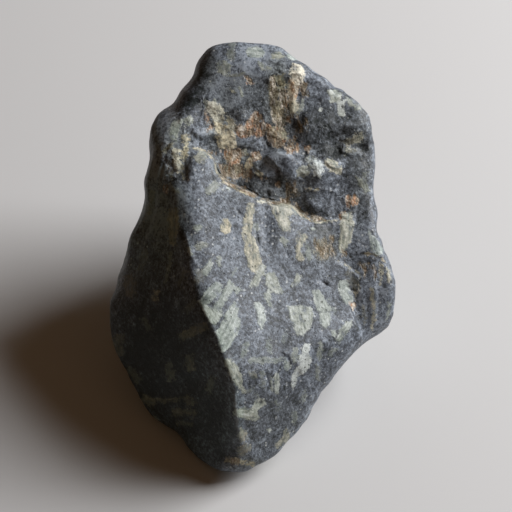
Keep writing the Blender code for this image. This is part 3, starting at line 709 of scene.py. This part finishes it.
# Tones of the ground: middle, half width, half height, lighter or darker. Some are the ground's own tone; many are
# painted light and shade: the shaded side and the tip painted darker, lit tops of lumps and shadowed hollows
# painted lighter.
tonesAndPaintedLight = [
    ((229, 51), 7, 8, -0.45), ((250, 52), 13, 6, 0.35), ((254, 51), 20, 9, 1.1), ((284, 56), 14, 6, 0.3),
    ((203, 66), 12, 22, -0.3), ((240, 76), 20, 10, 0.4), ((256, 64), 24, 10, 0.9), ((180, 90), 8, 8, 0.5),
    ((199, 82), 10, 24, -1.4), ((228, 86), 36, 24, 0.9), ((276, 90), 7, 14, -0.6), ((282, 84), 8, 18, 0.5),
    ((302, 91), 4, 9, -1.2), ((316, 98), 10, 10, 0.4), ((318, 84), 14, 10, 0.2), ((166, 112), 13, 20, 0.6),
    ((182, 108), 8, 8, -0.6), ((190, 101), 9, 11, -1.2), ((197, 112), 6, 10, -0.3), ((200, 105), 7, 7, -0.5),
    ((235, 116), 6, 6, -0.3), ((240, 110), 8, 6, -0.5), ((250, 100), 16, 10, -0.2), ((268, 111), 5, 12, -0.8),
    ((172, 138), 13, 28, 0.6), ((176, 128), 12, 20, 0.3), ((200, 131), 9, 6, 0.6), ((210, 134), 16, 12, 0.5),
    ((222, 128), 10, 22, 0.3), ((232, 122), 9, 10, 1.2), ((246, 138), 14, 6, 0.4), ((298, 122), 8, 8, -0.6),
    ((300, 125), 8, 8, 0.3), ((326, 124), 22, 18, -0.6), ((352, 120), 16, 14, -0.2), ((238, 143), 9, 6, 0.6),
    ((280, 155), 11, 5, 1.5), ((291, 143), 7, 6, -0.7), ((320, 140), 18, 10, -0.2), ((334, 152), 15, 7, -1.8),
    ((335, 155), 9, 6, -0.5), ((338, 146), 5, 9, -0.8), ((364, 148), 5, 6, -0.6), ((154, 160), 10, 26, 0.9),
    ((169, 172), 12, 8, 0.8), ((200, 172), 14, 20, 0.3), ((222, 170), 5, 8, -1.3), ((250, 171), 9, 8, 0.9),
    ((264, 161), 9, 5, 0.6), ((272, 168), 10, 8, 1.4), ((280, 170), 16, 9, -0.2), ((290, 166), 8, 7, 0.5),
    ((364, 160), 9, 60, -0.5), ((172, 196), 6, 12, -0.6), ((178, 180), 9, 7, -0.9), ((183, 196), 7, 14, 0.7),
    ((247, 188), 18, 8, -1.0), ((292, 192), 8, 12, -0.2), ((300, 190), 7, 8, 0.9), ((160, 212), 24, 36, 1.1),
    ((192, 214), 8, 16, 0.5), ((218, 210), 16, 10, 0.1), ((252, 205), 14, 8, -0.3), ((272, 205), 24, 6, -0.35),
    ((310, 212), 14, 7, -1.1), ((335, 200), 8, 8, 0.85), ((346, 204), 9, 7, 0.8), ((357, 200), 8, 20, 0.3),
    ((366, 210), 8, 16, -0.5), ((182, 232), 4, 12, -0.7), ((267, 224), 8, 20, 0.3), ((323, 228), 12, 7, -0.9),
    ((226, 240), 16, 20, 0.6), ((236, 256), 14, 22, 0.35), ((258, 240), 3, 8, -0.8), ((318, 240), 14, 16, -0.5),
    ((326, 249), 14, 14, -0.4), ((360, 240), 12, 14, 0.6), ((222, 276), 12, 5, -0.5), ((366, 270), 12, 14, -0.3),
    ((369, 296), 12, 30, 0.3), ((374, 300), 14, 34, 0.5), ((245, 330), 12, 14, 0.3), ((357, 322), 4, 14, -0.7),
    ((278, 344), 14, 10, -0.4), ((288, 350), 8, 12, -0.2), ((155, 360), 60, 80, -1.6), ((276, 386), 8, 9, -0.3),
    ((290, 388), 14, 12, -0.1), ((292, 398), 8, 10, -0.4), ((218, 412), 14, 40, -0.5), ((268, 402), 9, 6, -0.5),
    ((270, 415), 22, 22, -0.3), ((205, 425), 34, 44, -0.8), ((246, 430), 14, 22, -0.4), ((256, 433), 8, 8, -0.6),
    ((228, 455), 22, 10, -0.6),
]
# Casts of the ground: middle, half width, half height, and how olive; a negative amount lays instead a greenish
# tint painted on the shaded side, a painted colour of shade.
olivesAndShadeTints = [
    ((160, 380), 60, 90, -0.9), ((205, 420), 34, 50, -0.9), ((150, 230), 34, 70, -0.9),
    ((150, 150), 14, 40, -0.5), ((205, 70), 14, 22, 0.5), ((360, 160), 10, 60, 0.4), ((240, 462), 26, 8, 0.5),
    ((245, 98), 34, 22, 0.35), ((220, 128), 14, 30, 0.5), ((278, 104), 14, 44, 0.8), ((238, 164), 24, 20, 0.5),
    ((272, 425), 44, 34, 0.25), ((176, 150), 16, 34, 0.5), ((328, 130), 44, 24, 0.3), ((270, 190), 40, 12, 0.4),
    ((325, 246), 18, 16, 0.5),
]


def crystalField(piece):
    # for every point: mm to the nearest crystal's edge (negative inside), mm along and across that crystal, and
    # how pale and how warm it is; the threads, painted highlights and glints among them, are laid in as crystals
    # too
    points = pointsOf(piece)
    normals = normalsOf(piece)
    x, y, _ = faceView(points)
    seen = normals @ outOfFace() > 0.02
    edge = np.full(len(points), 6.0)
    along, across, pale, warm = (np.zeros(len(points)) for _ in range(4))

    def lay(rows, distance, runAlong, runAcross, paleness, warmth):
        closer = distance < edge[rows]
        hit = rows[closer]
        edge[hit] = distance[closer]
        along[hit] = runAlong[closer]
        across[hit] = runAcross[closer]
        pale[hit] = paleness
        warm[hit] = warmth

    shapes = list(crystals)
    for x0, y0, x1, y1, width, paleness, warmth in laths:
        length = math.hypot(x1 - x0, y1 - y0)
        aside = np.array([y1 - y0, x0 - x1]) / length * width / 2
        ahead = np.array([x1 - x0, y1 - y0]) / length
        start, end = np.array([x0, y0]), np.array([x1, y1])
        corners = [start + aside, start - 0.8 * aside - ahead, end - aside, end + 0.8 * aside + ahead]
        shapes.append((paleness, warmth, corners))
    for number, (paleness, warmth, outline) in enumerate(shapes):
        outline = np.array(outline, float)
        low, high = outline.min(axis=0) - 12, outline.max(axis=0) + 12
        rows = np.flatnonzero(seen & (x > low[0]) & (x < high[0]) & (y > low[1]) & (y < high[1]))
        middle = outline.mean(axis=0)
        way = np.linalg.svd(outline - middle)[2][0]
        dx, dy = (x[rows] - middle[0]) / 4, (y[rows] - middle[1]) / 4
        lay(rows, insideOf(outline, x[rows], y[rows]) / 4, dx * way[0] + dy * way[1] + 7 * number,
            dy * way[0] - dx * way[1] + 3 * number, paleness, warmth)
    for number, (line, width, paleness, warmth) in enumerate(threads):
        side, share = alongLine(line, x, y)
        taper = 0.4 + 0.6 * fadedEnds(share, 0.2)
        rows = np.flatnonzero(seen & (np.abs(side) < 6))
        lay(rows, (np.abs(side[rows]) - width / 2 * taper[rows]) / 4, share[rows] * 9 + number, side[rows] / 4,
            paleness, warmth)

    draw = np.random.default_rng(hiddenLaths["seed"])
    hidden = np.flatnonzero(~seen)
    for number in range(hiddenLaths["number"]):
        middle = hidden[draw.integers(len(hidden))]
        length = draw.uniform(*hiddenLaths["length"])
        width = draw.uniform(*hiddenLaths["width"])
        paleness, warmth = draw.uniform(0.35, 0.85), draw.uniform(0.1, 0.9) ** 1.5
        normal = normals[middle]
        way = np.cross(normal, draw.normal(size=3))
        way /= np.linalg.norm(way)
        side = np.cross(normal, way)
        local = (points[hidden] - points[middle]) / mm
        runAlong, runAcross, depth = local @ way, local @ side, local @ normal
        slant = draw.uniform(-0.5, 0.5)
        overLong = np.abs(runAlong + slant * runAcross) - length / 2
        overWide = np.abs(runAcross) - width / 2
        outside = np.hypot(np.maximum(overLong, 0), np.maximum(overWide, 0))
        distance = outside + np.minimum(np.maximum(overLong, overWide), 0)
        distance = np.maximum(distance, np.abs(depth) - 3.5)
        lay(hidden, distance, runAlong + 7 * number, runAcross + 3 * number, paleness, warmth)
    return {"crystalEdge": np.clip(edge, -3, 3), "crystalAlong": along, "crystalAcross": across,
            "crystalPale": pale, "crystalWarm": warm}


def stainAndPaintedLightField(piece):
    points = pointsOf(piece)
    x, y, _ = faceView(points)
    seen = smoothStep((normalsOf(piece) @ outOfFace()) / 0.3)
    rust, brown, toneAndPaintedLight, oliveAndShadeTint = (np.zeros(len(points)) for _ in range(4))
    for strength, brownness, outline in stains:
        amount = strength * smoothStep(0.5 - insideOf(outline, x, y) / stainBlend) * seen
        brown = np.where(amount > rust, brownness, brown)
        rust = np.maximum(rust, amount)
    # tones: part the ground's own tone, part painted light and shade
    for middle, halfX, halfY, amount in tonesAndPaintedLight:
        toneAndPaintedLight += amount * (1.0 - smoothStep(awayFrom(middle, halfX, halfY, x, y) / 1.5)) * seen
    for middle, halfX, halfY, amount in olivesAndShadeTints:
        amount = amount * (1.0 - smoothStep(awayFrom(middle, halfX, halfY, x, y) - 0.5))
        oliveAndShadeTint = np.where(np.abs(amount) > np.abs(oliveAndShadeTint), amount, oliveAndShadeTint)
    return {"rust": rust, "rustBrown": brown, "toneAndPaintedLight": toneAndPaintedLight, "oliveAndShadeTint": oliveAndShadeTint}


def wearField(piece):
    # how far each point stands proud of its surroundings: edges are rubbed pale, hollows stay dark
    proud = ((pointsOf(piece) - averaged(piece, 4)) * normalsOf(piece)).sum(axis=1) / mm
    return {"fineWear": proud, "broken": hackly(pointsOf(piece), normalsOf(piece))}


def storeFields(piece, fields):
    for name, values in fields.items():
        attribute = piece.data.attributes.new(name, "FLOAT", "POINT")
        attribute.data.foreach_set("value", np.ascontiguousarray(values, np.float32))


for field in (crystalField, stainAndPaintedLightField, wearField):
    storeFields(stone, field(stone))
stone.data.shade_smooth()
print("crystals and stains are laid out")

# material

stoneLook = {
    "groundBlack": "#20282a",
    "groundDark": "#4b5058",
    "groundLight": "#6b737e",
    "groundPale": "#949da9",
    "oliveCast": "#dcdbc6",
    "shadeSideTint": "#d8eada",
    "crystalCool": "#a0adab",
    "crystalWarm": "#b0a88e",
    "crystalGrey": "#656f6b",
    "crystalFaint": "#6f7b76",
    "crystalBrown": "#7b705c",
    "crystalPit": "#4b5148",
    "crystalWhite": "#d8dfde",
    "crystalCream": "#f0e6cf",
    "fleckAndGlint": "#c8cdcf",
    "rustOrange": "#c4946f",
    "rustBrown": "#776549",
    "rustCream": "#dbd1c2",
    "rustDark": "#64543f",
    "rustClay": "#a8967f",
    "rustOlive": "#6f6855",
    "rubbed": "#b6babb",
    "hollowDark": "#262421",
}
# What the patterns measure, in mm.
patternSize = {
    "cloud": 3.33,
    "grain": 0.833,  # the real grains are under a tenth, and drawn this coarse they show
    "speck": 0.87,
    "ghost": 2.0,
    "notch": 1.053,  # in a crystal's edge
    "patch": 1.82,  # of ground showing through a crystal
    "bead": 0.667,
    "crumb": 1.333,
    "stainEdge": 2.22,
    "clay": 1.54,
    "facet": 1.54,
    "hackle": 1.176,
}
# Fine needles in the ground: turn in degrees, length and thickness in mm.
needleKinds = [(20, 2.2, 0.45), (75, 1.9, 0.40), (135, 2.4, 0.5), (100, 1.4, 0.6)]
bumpHeight = 0.13  # mm


def porphyry():
    # water-worn feldspar porphyry: a fine blue-grey ground with a satin face, paler laths of
    # feldspar with ragged ends, and rust where the flake came away
    material = bpy.data.materials.new("water-worn porphyry")
    material.use_nodes = True
    tree = material.node_tree
    shader = tree.nodes["Principled BSDF"]

    def add(kind, inputs=None, out=0, **settings):
        node = tree.nodes.new("ShaderNode" + kind)
        for name, value in settings.items():
            setattr(node, name, value)
        for name, value in (inputs or {}).items():
            if isinstance(value, bpy.types.NodeSocket):
                tree.links.new(value, node.inputs[name])
            else:
                node.inputs[name].default_value = value
        return node.outputs[out]

    def plus(value, more):
        return add("Math", {0: value, 1: more}, operation="ADD")

    def times(value, factor, more=0.0):
        return add("Math", {0: value, 1: factor, 2: more}, operation="MULTIPLY_ADD")

    def remap(value, start, end, low=0.0, high=1.0, clamp=True):
        return add("MapRange", {0: value, 1: start, 2: end, 3: low, 4: high}, clamp=clamp)

    def mix(share, under, over, **settings):
        under, over = (linear(stoneLook[c]) if isinstance(c, str) else c for c in (under, over))
        return add("Mix", {0: share, 6: under, 7: over}, 2, data_type="RGBA", **settings)

    def noise(size, detail, roughness, at):
        return add("TexNoise", {"Vector": at, "Scale": 1 / patternSize[size], "Detail": detail,
                                "Roughness": roughness}, "Fac")

    def cells(size):
        return add("TexVoronoi", {"Vector": place, "Scale": 1 / patternSize[size]}, "Distance", feature="F1")

    # positions in mm, and the same turned square on to the face
    place = add("VectorMath", {0: add("TexCoord", out="Object"), 1: (1000, 1000, 1000)}, operation="MULTIPLY")
    lean = math.radians(cameraSetup["height"] - 90)
    flat = add("VectorRotate", {"Vector": place, "Axis": (1, 0, 0), "Angle": lean})
    edge, along, across, pale, warm, rust, brown, toneAndPaintedLight, oliveAndShadeTint, wear, broken = [
        add("Attribute", out="Fac", attribute_name=name)
        for name in ("crystalEdge", "crystalAlong", "crystalAcross", "crystalPale", "crystalWarm", "rust",
                     "rustBrown", "toneAndPaintedLight", "oliveAndShadeTint", "fineWear", "broken")]

    # ground: clouded, grained, and crossed by needles, some pale and some dark
    clouds = remap(noise("cloud", 5.0, 0.6, place), 0.3, 0.7, -0.6, 0.6)
    grain = remap(noise("grain", 4.0, 0.7, place), 0.3, 0.7, -0.72, 0.72, clamp=False)
    needles, gaps = 0.0, 0.0
    for turn, length, thickness in needleKinds:
        laid = add("Mapping", {"Vector": flat, "Location": (turn, 0, 0), "Rotation": (0, 0, math.radians(turn)),
                               "Scale": (length, thickness, 0.8)}, vector_type="TEXTURE")
        laid = add("TexNoise", {"Vector": laid, "Scale": 1.0, "Detail": 1.5, "Roughness": 0.6}, "Fac")
        needles = add("Math", {0: needles, 1: remap(laid, 0.59, 0.66)}, operation="MAXIMUM")
        gaps = add("Math", {0: gaps, 1: remap(laid, 0.40, 0.33)}, operation="MAXIMUM")
    # the ground's tone, part of it painted light and shade, raises or lowers its lightness
    light = plus(plus(clouds, times(grain, remap(broken, 0.0, 1.0, 1.0, 1.35))), toneAndPaintedLight)
    light = times(needles, 0.65, light)
    light = times(gaps, -0.55, light)
    # faint ghosts of crystals
    ghostly = add("VectorMath", {0: flat, 1: (3, 8, 5)}, operation="ADD")
    light = plus(light, remap(noise("ghost", 4.0, 0.62, ghostly), 0.53, 0.63, 0.0, 0.45))
    ground = add("ValToRGB", {0: remap(light, -1.15, 1.25)})
    ramp = ground.node.color_ramp
    ramp.elements[0].position, ramp.elements[0].color = 0.0, linear(stoneLook["groundBlack"])
    ramp.elements[1].position, ramp.elements[1].color = 1.0, linear(stoneLook["groundPale"])
    for position, name in ((0.35, "groundDark"), (0.65, "groundLight")):
        stop = ramp.elements.new(position)
        stop.color = linear(stoneLook[name])
    # single grains, some bright and some dark; the brightest few are painted glints, and the bright ones fade out
    # where the ground is painted dark for shade
    grains = cells("speck")
    kinds = add("SeparateColor", {0: grains.node.outputs["Color"]})
    brightGrainsAndGlints = add("Math", {0: remap(kinds, 0.62, 1.0, 0.02, 0.34), 1: grains}, operation="SUBTRACT")
    pits = add("Math", {0: remap(kinds, 0.38, 0.0, 0.02, 0.36), 1: grains}, operation="SUBTRACT")
    brightGrainsAndGlints = times(remap(brightGrainsAndGlints, -0.04, 0.06), remap(kinds, 0.9, 1.0, 0.4, 0.85))
    pits = remap(pits, -0.04, 0.06)
    colour = mix(times(brightGrainsAndGlints, remap(toneAndPaintedLight, -0.7, 0.0)), ground, "fleckAndGlint")
    colour = mix(times(pits, 0.5), colour, "groundBlack")

    # laths: ragged edges, streaked along their length, patchy where the ground shows through
    ragged = remap(noise("notch", 5.0, 0.72, place), 0.25, 0.75, -0.5, 0.5, clamp=False)
    ragged = times(ragged, remap(pale, 0.3, 0.7, 2.4, 1.0))
    ragged = times(ragged, remap(broken, 0.0, 1.0, 1.0, 1.8))
    inside = remap(plus(edge, ragged), 0.14, -0.2)
    streaked = add("CombineXYZ", {0: times(along, 0.3), 1: times(across, 1.5)})
    streaks = add("TexNoise", {"Vector": streaked, "Scale": 1.0, "Detail": 3.0, "Roughness": 0.6}, "Fac")
    patches = noise("patch", 5.0, 0.62, place)
    faint = mix(warm, "crystalFaint", "crystalBrown")
    body = mix(remap(pale, 0.3, 0.8), faint, mix(warm, "crystalCool", "crystalWarm"))
    white = mix(remap(warm, 0.4, 0.8), "crystalWhite", "crystalCream")
    body = mix(remap(pale, 0.94, 1.0, 0.0, 0.9), body, white)
    greys = times(remap(streaks, 0.50, 0.62, 0.0, 0.75), remap(pale, 0.9, 1.0, 1.0, 0.4))
    body = mix(greys, body, "crystalGrey")
    bright = remap(pale, 0.3, 0.75, 0.25, 1.0)
    body = mix(times(remap(streaks, 0.46, 0.36, 0.0, 0.6), bright), body, white)
    body = mix(times(remap(patches, 0.50, 0.66, 0.0, 0.6), bright), body, white)
    beads = cells("bead")
    rim = remap(edge, -0.7, 0.0, 0.3, 1.0)
    body = mix(times(remap(beads, 0.30, 0.14, 0.0, 0.5), rim), body, white)
    body = mix(remap(beads, 0.56, 0.7, 0.0, 0.3), body, "crystalGrey")
    body = mix(times(pits, 0.75), body, "crystalPit")
    cover = times(remap(patches, 0.34, 0.46, 0.25, 1.0), remap(pale, 0.3, 0.6, 0.5, 1.0))
    cover = times(cover, inside)
    colour = mix(cover, colour, body)

    colour = mix(oliveAndShadeTint, colour, "oliveCast", blend_type="MULTIPLY")
    # a greenish tint painted on the shaded side, where the cast is negative
    colour = mix(times(oliveAndShadeTint, -1.0), colour, "shadeSideTint", blend_type="MULTIPLY")

    # rust: orange, clay, cream and brown crumbs
    drawn = add("Mapping", {"Vector": flat, "Scale": (1.15, 0.5, 1.0)})
    crumbs = noise("crumb", 4.0, 0.66, drawn)
    apart = add("VectorMath", {0: drawn, 1: (9, 4, 7)}, operation="ADD")
    spots = noise("stainEdge", 5.0, 0.66, apart)
    clays = remap(noise("clay", 4.0, 0.66, apart), 0.42, 0.52)
    rusty = mix(clays, mix(brown, "rustOrange", "rustBrown"), mix(brown, "rustClay", "rustOlive"))
    rusty = mix(remap(crumbs, 0.51, 0.58, 0.0, 0.8), rusty, "rustCream")
    rusty = mix(remap(crumbs, 0.43, 0.38, 0.0, 0.75), rusty, "rustDark")
    # rust is painted darker too where the tone is painted dark for shade
    rusty = mix(remap(toneAndPaintedLight, -0.2, -1.2, 0.0, 0.8), rusty, "rustDark")
    stained = times(remap(spots, 0.3, 0.7, -0.85, 0.85), remap(rust, 0.0, 0.4), rust)
    stained = remap(stained, 0.22, 0.52, 0.0, 0.85)
    # the palest crystals stay cleaner
    stained = times(stained, times(cover, remap(pale, 0.7, 1.0, 0.0, -0.55)), stained)
    colour = mix(stained, colour, rusty)

    # rubbed edges are a little paler, grooves and hollows are darker
    colour = mix(remap(wear, 0.02, 0.12, 0.0, 0.25), colour, "rubbed")
    colour = mix(remap(wear, -0.02, -0.14, 0.0, 0.6), colour, "hollowDark")
    tree.links.new(colour, shader.inputs["Base Color"])

    dull = add("Math", {0: stained, 1: 0.3, 2: remap(grain, -0.72, 0.72, 0.40, 0.62)}, operation="MULTIPLY_ADD",
               use_clamp=True)
    tree.links.new(dull, shader.inputs["Roughness"])
    shader.inputs["IOR"].default_value = 1.5

    # relief too fine for the mesh: facets of broken crystals, each tilted its own way, hackle,
    # pits, and crumbs in the rust
    around = cells("facet").node.outputs
    fromMiddle = add("VectorMath", {0: place, 1: around["Position"]}, operation="SUBTRACT")
    tilt = add("VectorMath", {0: around["Color"], 1: (0.5, 0.5, 0.5)}, operation="SUBTRACT")
    facets = add("VectorMath", {0: fromMiddle, 1: tilt}, "Value", operation="DOT_PRODUCT")
    facets = times(facets, remap(broken, 0.0, 1.0, 0.0, 4.5))
    hackle = times(noise("hackle", 5.0, 0.7, place), remap(broken, 0.0, 1.0, 0.9, 3.6))
    tall = times(grain, 0.2, hackle)
    tall = times(cover, 0.3, tall)
    tall = times(pits, -0.5, tall)
    crumbly = times(beads, times(stained, -2.0, times(broken, -0.4)))
    tall = plus(plus(tall, crumbly), facets)
    bump = add("Bump", {"Strength": 1.0, "Distance": bumpHeight * mm, "Height": tall})
    tree.links.new(bump, shader.inputs["Normal"])
    return material


stone.data.materials.clear()
stone.data.materials.append(porphyry())
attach(stone, "root")
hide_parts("stone")
bpy.context.scene.view_settings.view_transform = "Standard"
